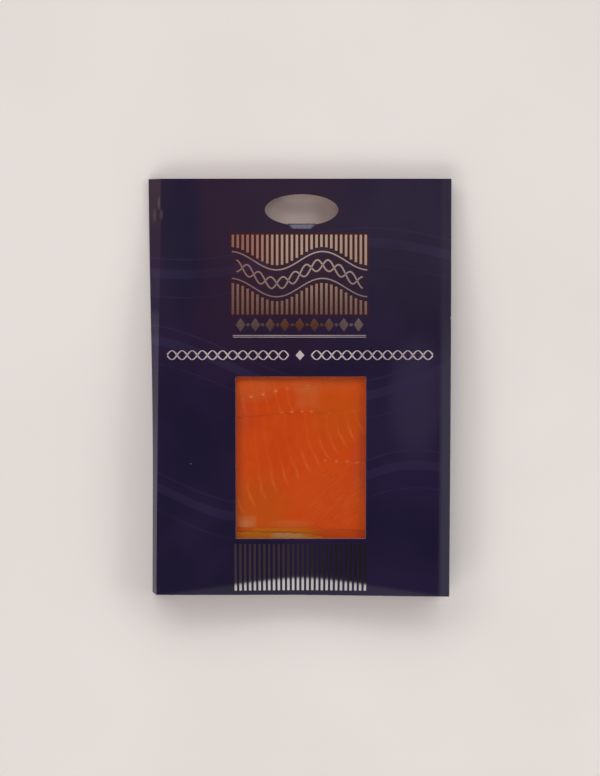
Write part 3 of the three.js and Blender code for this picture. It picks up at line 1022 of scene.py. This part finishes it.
# Each slice: its lower edge as (x, y) places, its upper, left and right ends, its depth under the film,
# its seams and their strength, and the small bumps along its edge, each with a painted highlight, as (x, y,
# strength).
SLICES = {
    "slice_lower": {
        "edge": [(-54, -81.5), (-30, -81.8), (-16, -82.0), (-8, -81.9), (0, -82.7), (6, -83.9), (12, -85.4),
                 (20, -87.2), (54, -91.0)],
        "top": -20.0, "left": -54.0, "right": 54.0, "sink": 0.46, "seams": low_seams, "gain": 0.2,
        "beads": [],
    },
    "slice_main": {
        "edge": [(-54, -78.5), (-34, -79.2), (-17, -79.0), (5, -79.0), (12, -79.8), (22, -80.2), (30, -80.5),
                 (36, -81.5), (54, -83.0)],
        "top": 20.0, "left": -54.0, "right": 54.0, "sink": 0.3, "seams": low_seams, "gain": 1.0,
        "beads": [],
    },
    "slice_right": {
        "edge": [(2, -34), (9, -39.8), (14.4, -40.8), (20.9, -41.6), (27.2, -41.4), (32.6, -42.2), (56, -43)],
        "top": 22.0, "left": 2.0, "right": 56.0, "sink": 0.2, "seams": low_seams, "gain": 1.0,
        "fade_left": 16.0,
        "beads": [(14.4, -41.0, 0.6), (20.9, -41.5, 0.6), (27.2, -41.4, 0.7), (32.8, -42.3, 0.75)],
    },
    "slice_middle": {
        "edge": [(-54, -17.5), (-24, -14.8), (-10, -13.7), (1.3, -12.9), (9, -13.2), (16.6, -14.4),
                 (24, -12.6), (31.8, -10.6), (54, -5)],
        "top": 34.0, "left": -54.0, "right": 54.0, "sink": 0.1, "seams": high_seams, "gain": 0.38,
        "beads": [(-10.0, -13.5, 0.35), (-4.4, -13.0, 0.5), (1.3, -12.8, 0.45), (6.7, -12.8, 0.4),
                  (16.6, -14.6, 0.6), (32.4, -11.5, 0.4)],
    },
    "slice_upper": {
        "edge": [(-54, -5.8), (-27.6, -4.7), (-20.8, -3.3), (-13.5, -1.6), (-7.2, -0.2), (4.7, 1.6), (16, 5),
                 (54, 16)],
        "top": 38.0, "left": -54.0, "right": 54.0, "sink": 0.0, "seams": high_seams, "gain": 0.2,
        "beads": [(-27.6, -4.6, 1.0), (-20.8, -3.0, 0.7), (-13.5, -1.3, 0.9), (-7.2, 0.2, 0.35),
                  (4.7, 1.8, 0.4)],
    },
}
SLICE_STEP = 0.5
SLICE_THICKNESS = 1.6
SLICE_EDGE_DROP = 0.1
SLICE_EDGE_ROUND = 0.45
SEGMENT_SWELL = 0.05  # how far the muscle swells between its seams
BEAD_RADIUS = 0.85
BEAD_HEIGHT = 0.14
BACKING_DEPTH = 0.35  # the backing lies this much below the lowest slice's face
BACKING_THICKNESS = 0.5
BACKING_TOP = -80.0  # it is made only where it can be seen
WINDOW_HAZE = 0.13  # how pale the film's edge looks along the window
OIL = {"others": 0.35, "lowest": 0.75}

# Soft spots of colour on the fish: the middle, the half sizes and the strength.
PINK_SPOTS = [((-36.0, -14.0), (14.0, 16.0), 1.0), ((38.5, -41.0), (12.0, 24.0), 1.3)]
OLIVE_SPOTS = [((22.0, -13.0), (20.0, 22.0), 0.5), ((-24.0, -70.0), (24.0, 26.0), 0.8)]
DARK_SPOTS = [((38.5, -30.0), (6.5, 46.0), 0.2), ((-26.0, -18.5), (5.5, 4.5), 0.12)]
CREAM_SPOTS = [
    ((-31.0, -77.0), (5.0, 3.0), 0.4),
    ((-27.0, -1.0), (16.0, 8.0), 0.22),
    ((4.0, 5.0), (40.0, 8.0), 0.15),
    ((-5.0, -77.0), (15.0, 3.2), 0.35),
]

# Pale patches with straight sides: the lower left and upper right corners, the softness and the strength. The
# first is a painted reflection on the film.
CREAM_BOXES = [((-2.0, -10.0), (11.0, 2.5), 3.0, 0.34), ((-35.0, -79.0), (-25.0, -72.5), 1.2, 0.55)]


def inside_window(x, y):
    """How far inside the window's nearest side a place lies."""
    dx = WINDOW["width"] / 2 - np.abs(x - WINDOW["x"])
    dy = WINDOW["height"] / 2 - np.abs(y - WINDOW["y"])
    return np.minimum(dx, dy)


def film_height(x, y):
    """The film's own height in and round the window, before it sinks at the slices' edges."""
    bulge = WINDOW_BULGE * smooth_step(inside_window(x, y), 1.0, 12.0)
    return front_height(x, y) - BOARD - GAP + bulge


def bead_share(shape, x, y):
    """The small bumps where seams meet the slice's edge, each with a painted highlight."""
    share = np.zeros_like(x)
    for bx, by, strength in shape["beads"]:
        square = ((x - bx) / BEAD_RADIUS) ** 2 + ((y - by) / (BEAD_RADIUS * 1.15)) ** 2
        share = np.maximum(share, strength * np.exp(-square))
    return share


def spots(x, y, places):
    return sum(soft_spot(x, y, centre, radii) * strength for centre, radii, strength in places)


def fish_attributes(piece, shape, x, y, from_edge):
    """What the fish's colours depend on, for each point of a slice."""
    sway = 0.5 * np.sin(y * 0.21 + 1.3) + 0.25 * np.sin(y * 0.57 + x * 0.13)
    phase, shown = shape["seams"](x + sway, y)
    rim = (1 - smooth_step(from_edge, 0.0, 0.9)) * 0.03 * smooth_step(np.abs(x + 1.0), 16.0, 30.0)
    haze = (1 - smooth_step(inside_window(x, y), 0.0, 9.0)) * WINDOW_HAZE
    # the first of these pale patches is a painted reflection
    patches = sum(soft_box(x, y, low, high, soft) * strength for low, high, soft, strength in CREAM_BOXES)
    oily = smooth_step(x, -30.0, -24.0) * (1 - smooth_step(x, 2.0, 16.0)) * smooth_step(-y, 78.2, 81.0)
    oil = OIL["lowest" if shape is SLICES["slice_lower"] else "others"]
    shares = {
        "muscle_phase": phase,
        "muscle_gain": shown * shape["gain"],
        "pink": np.clip(spots(x, y, PINK_SPOTS), 0, 1) * 0.6,
        "olive": np.clip(spots(x, y, OLIVE_SPOTS), 0, 1),
        # the rise near the window's top edge is painted shade under the card's edge
        "dark": np.clip(spots(x, y, DARK_SPOTS) + smooth_step(y, 3.5, 7.0) * 0.2, 0, 1),
        "cream": np.clip(rim + haze + patches + spots(x, y, CREAM_SPOTS), 0, 1),
        "gold": oily * oil,
        "bead": bead_share(shape, x, y),
    }
    for name, values in shares.items():
        layer = piece.data.attributes.new(name, "FLOAT", "POINT")
        layer.data.foreach_set("value", np.asarray(values, np.float32))


def fish_slice(name, shape, material):
    """A thin slab of fish whose lower edge is the slice's visible edge, rounded over."""
    xs = np.arange(shape["left"], shape["right"] + SLICE_STEP / 2, SLICE_STEP)
    rows = int((shape["top"] - min(p[1] for p in shape["edge"])) / SLICE_STEP)
    x, share = np.meshgrid(xs, np.linspace(0.0, 1.0, rows))
    ragged = 0.22 * np.sin(x * 1.07 + shape["gain"] * 9) + 0.13 * np.sin(x * 2.3 + 1.0)
    low = smooth_curve(shape["edge"])(x) + ragged
    y = low + (shape["top"] - low) * share
    from_edge = y - low
    ends = np.minimum(x - shape["left"], shape["right"] - x)
    inset = np.minimum(np.minimum(from_edge, shape["top"] - y), ends)
    drop = SLICE_EDGE_DROP * np.exp(-np.maximum(inset, 0.0) / SLICE_EDGE_ROUND)
    if "fade_left" in shape:
        drop = drop + 0.5 * (1 - smooth_step(x, shape["left"], shape["left"] + shape["fade_left"]))
    phase, shown = shape["seams"](x, y)
    from_seam = 1 - np.abs(phase % 1.0 - 0.5) * 2
    swell = SEGMENT_SWELL * (1 - (1 - from_seam) ** 2) * shown * shape["gain"]
    roll = 0.05 * np.sin(x * 0.19 + y * 0.11) + 0.04 * np.sin(y * 0.23 - x * 0.07)
    film = film_height(x, y)
    top = film - FILM_CLEARANCE - shape["sink"] - drop + swell + roll - BEAD_HEIGHT
    top = top + BEAD_HEIGHT * bead_share(shape, x, y)
    bottom = np.minimum(film - shape["sink"] - SLICE_THICKNESS, top - 0.3)
    piece = slab(name, x, y, top, bottom, material)
    twice = lambda values: np.tile(values.reshape(-1), 2)
    fish_attributes(piece, shape, twice(x), twice(y), twice(from_edge))
    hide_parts("vacuum_pouch")


def slab(name, x, y, top, bottom, material):
    """A closed piece between two heights over a grid of places."""
    upper = np.stack([x, y, top], axis=-1).reshape(-1, 3)
    under = np.stack([x, y, bottom], axis=-1).reshape(-1, 3)
    faces = grid_solid_faces(x.shape[1], x.shape[0])
    return new_piece(name, np.concatenate([upper, under]), faces, [material])


def grid_solid_faces(count_x, count_y):
    """Faces of a closed slab: an upper grid, a lower grid of the same size and the rim between."""
    size = count_x * count_y
    i, j = np.meshgrid(np.arange(count_x - 1), np.arange(count_y - 1))
    a = (j * count_x + i).reshape(-1)
    upper = np.stack([a, a + 1, a + 1 + count_x, a + count_x], axis=1)
    lower = upper[:, ::-1] + size
    rim = []
    for k in range(count_x - 1):
        far = (count_y - 1) * count_x + k
        rim += [[k + 1, k, k + size, k + 1 + size], [far, far + 1, far + 1 + size, far + size]]
    for k in range(count_y - 1):
        a, b = k * count_x, (k + 1) * count_x
        c, d = a + count_x - 1, b + count_x - 1
        rim += [[a, b, b + size, a + size], [d, c, c + size, d + size]]
    return np.concatenate([upper, lower, np.array(rim)])


def backing_sheet(material):
    """The pale sheet that the slices lie on, seen past their lower edge."""
    x, y = np.meshgrid(np.linspace(-56.0, 56.0, 113), np.linspace(-94.0, BACKING_TOP, 15))
    top = film_height(x, y) - SLICES["slice_lower"]["sink"] - BACKING_DEPTH
    piece = slab("backing_sheet", x, y, top, top - BACKING_THICKNESS, material)
    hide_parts("vacuum_pouch")


# ---- Film ----

FILM_FOLLOWS = 0.5  # the share of each step between slices that the film sinks
FILM_GRID = (201, 235)  # points across and along the pouch


def film_step_drop(x, y):
    """How far the film sinks below each slice's lower edge."""
    drop = np.zeros_like(x)
    order = list(SLICES)
    for upper, lower in zip(order[:0:-1], order[-2::-1]):
        shape = SLICES[upper]
        edge = smooth_curve(shape["edge"])(x)
        within = smooth_step(x, shape["left"], shape["left"] + shape.get("fade_left", 4.0))
        drop = np.maximum(drop, SLICES[lower]["sink"] * smooth_step(edge - y, -1.5, 3.5) * within)
    lowest = SLICES["slice_lower"]
    past_last = smooth_step(smooth_curve(lowest["edge"])(x) - y, -1.5, 4.0)
    return np.maximum(drop, (lowest["sink"] + BACKING_DEPTH) * past_last)


def pouch_film(material):
    """The clear film: an upper sheet that follows the slices and a lower sheet, joined at the rim."""
    half_x, half_y = POUCH["width"] / 2, POUCH["height"] / 2
    u, v = np.meshgrid(*(np.linspace(-1, 1, count) for count in FILM_GRID))
    from_end = half_y * (1 - np.abs(v))
    corner = POUCH["corner"]
    cut_back = corner - np.sqrt(corner**2 - np.maximum(corner - from_end, 0.0) ** 2)
    half = half_x - cut_back
    x = POUCH["x"] + u * half
    y = POUCH["y"] + v * half_y
    from_rim = np.minimum(from_end, half * (1 - np.abs(u)))
    filled = smooth_step(from_rim, 0.0, POUCH["band"])
    base = BOARD + GAP
    full = film_height(x, y) - film_step_drop(x, y) * FILM_FOLLOWS
    top = base + POUCH["rim"] + (full - base - POUCH["rim"]) * filled
    piece = slab("pouch_film", x, y, top, np.full_like(x, base), material)
    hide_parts("vacuum_pouch")


# ---- Floor, light and camera ----

TABLE = [(0.84, 0.81, 0.79), (0.87, 0.84, 0.82)]
TABLE_SHADE_UNDER_PACK = (0.595, 0.509, 0.493)
FLOOR = {"reach": 6000.0, "z": -0.05}


def floor():
    """A pale table, with shade painted on it under the pack, as it looks through the hanging hole."""
    g = Material("pale_floor")
    vector, x, y = g.place()
    open_table = g.mix(g.ramp(g.noise(vector, 6.0, 3.0), 0.3, 0.7), *TABLE)
    # painted shade on the table under the pack
    under = g.times(g.fall(g.size(x), 70.0, 80.0), g.fall(g.size(y), 112.5, 117.5))
    colour = g.mix(under, open_table, TABLE_SHADE_UNDER_PACK)
    material = g.finished({"Base Color": colour, "Roughness": 0.8, "IOR": 1.3})
    far = FLOOR["reach"]
    corners = [(-far, -far), (far, -far), (far, far), (-far, far)]
    made = new_object("floor", level_ring(corners, FLOOR["z"]), [[0, 1, 2, 3]], [material])


LOW_LIGHT = 11.8
LEFT_CARD = 1.5
AHEAD_CARD = 0.80
BEHIND_CARD = 0.46
SIDE_CARDS = 0.22
UNDER_CARD = 0.06
CEILING = 0.012
BACKDROP = {"strength": 0.4, "head": (0.14, 0.2)}
RING = {"foot": (0.08, 0.14), "head": (0.25, 0.36)}  # heights, where straight up is 1
LEFT_GAP = (-0.99, -0.85)  # how far a direction leans to +X, for each unit level
CORNER_GAP = (0.82, 0.95)  # the same to the corner between +X and -Y
LAMP = (1.0, 0.99, 0.975)
ROSE = (1.0, 0.60, 0.50)
MAUVE = (1.0, 0.72, 0.90)


def studio_light():
    """A low ring of soft light with two gaps, and dim cards overhead for the gloss to mirror.

    A direction is written as u and v, how far it leans to +X and +Y for each unit up."""
    world = bpy.data.worlds.new("studio")
    world.use_nodes = True
    bpy.context.scene.world = world
    g = Graph(world.node_tree)
    direction = g.add("TexCoord").outputs["Generated"]
    dx, dy, dz = g.add("SeparateXYZ", {"Vector": direction}).outputs
    up = g.most(dz, 0.05)
    u, v = g.over(dx, up), g.over(dy, up)
    level = g.most(g.math("SQRT", g.plus(g.times(dx, dx), g.times(dy, dy))), 0.001)
    rightward = g.over(dx, level)
    near_corner = g.over(g.minus(dx, dy), g.times(level, math.sqrt(2)))
    wide, minus_u, minus_v = g.size(u), g.times(u, -1.0), g.times(v, -1.0)

    narrow = g.fall(wide, 0.35, 0.8)
    left_gap = g.most(g.ramp(minus_u, 0.088, 0.118, 1.0, 0.1), g.ramp(minus_u, 0.15, 0.18, 0.0, 0.9))
    behind = g.times(g.ramp(v, 0.06, 0.22), g.ramp(v, 0.5, 1.0, 1.0, 0.2), narrow, left_gap, BEHIND_CARD)
    sides = g.times(g.ramp(wide, 0.03, 0.10), g.ramp(v, 0.0, 0.10), g.ramp(wide, 0.3, 0.6, 1.0, 0.2),
                    left_gap, SIDE_CARDS)
    under = g.times(g.ramp(u, -0.03, 0.03, 1.0, 0.06), g.fall(v, -0.12, -0.04), UNDER_CARD)
    ahead = g.times(g.ramp(minus_v, 0.55, 0.80), g.ramp(minus_v, 1.2, 1.7, 1.0, 0.2), narrow,
                    g.ramp(u, -0.14, 0.08, 0.74, 1.0), AHEAD_CARD)
    left = g.times(g.ramp(minus_u, 0.45, 0.7), g.ramp(minus_u, 0.85, 1.5, 1.0, 0.5),
                   g.ramp(minus_u, 1.5, 2.6, 1.0, 0.5), g.fall(g.size(g.minus(v, 0.15)), 0.2, 0.45),
                   LEFT_CARD)
    ring = g.times(g.ramp(dz, *RING["foot"]), g.fall(dz, *RING["head"]),
                   g.ramp(rightward, *LEFT_GAP, 0.04, 1.0), g.ramp(near_corner, *CORNER_GAP, 1.0, 0.03),
                   LOW_LIGHT)
    backdrop = g.times(g.fall(dz, *BACKDROP["head"]), g.ramp(rightward, *LEFT_GAP, 0.15, 1.0),
                       BACKDROP["strength"])
    glow = g.vector_math("SCALE", {0: LAMP, "Scale": CEILING})
    parts = [(LAMP, part) for part in (behind, sides, ahead, ring, backdrop)]
    for tint, strength in parts + [(MAUVE, under), (ROSE, left)]:
        lit = g.vector_math("SCALE", {0: tint, "Scale": strength})
        glow = g.vector_math("MAXIMUM", {0: glow, 1: lit})
    background = g.add("Background", {"Color": glow, "Strength": 1.0})
    g.add("OutputWorld", {"Surface": background.outputs[0]})


CAMERA = {"x": 0.15, "y": 0.9, "z": 7.5, "distance": 520.0, "tilt": 3.0, "focal_pixels": 917.0}
FRAME_HEIGHT = 776
SENSOR = 36.0


def photo_camera():
    data = bpy.data.cameras.new("camera")
    camera = bpy.data.objects.new("camera", data)
    bpy.context.collection.objects.link(camera)
    tilt = math.radians(CAMERA["tilt"])
    camera.location = (
        CAMERA["x"] * MM,
        (CAMERA["y"] + CAMERA["distance"] * math.sin(tilt)) * MM,
        (CAMERA["z"] + CAMERA["distance"] * math.cos(tilt)) * MM,
    )
    camera.rotation_euler = (-tilt, 0.0, 0.0)
    data.sensor_fit = "VERTICAL"
    data.sensor_height = SENSOR
    data.lens = CAMERA["focal_pixels"] / FRAME_HEIGHT * SENSOR
    data.clip_start = 0.01
    bpy.context.scene.camera = camera


# ---- The scene ----

card_materials = [printed_card(), board_core(), creased_card_sheen(), die_cut_edge()]
card_sleeve(card_materials)
hole_lip(card_materials)

rose = rose_foil()
foil = silver("silver_foil", SILVER, 30.0)
ink = silver("silver_ink", INK, 40.0, metallic=0.35, dullness=0.28)
fish = smoked_fish()
foil_block(rose)
lozenge_chain(rose)
double_rule(ink)
twist_border(ink)
foot_stripes(foil)

for slice_name, slice_shape in SLICES.items():
    fish_slice(slice_name, slice_shape, fish)
backing_sheet(backing())
pouch_film(clear_film())

floor()
studio_light()
photo_camera()
bpy.context.scene.view_settings.view_transform = "Standard"
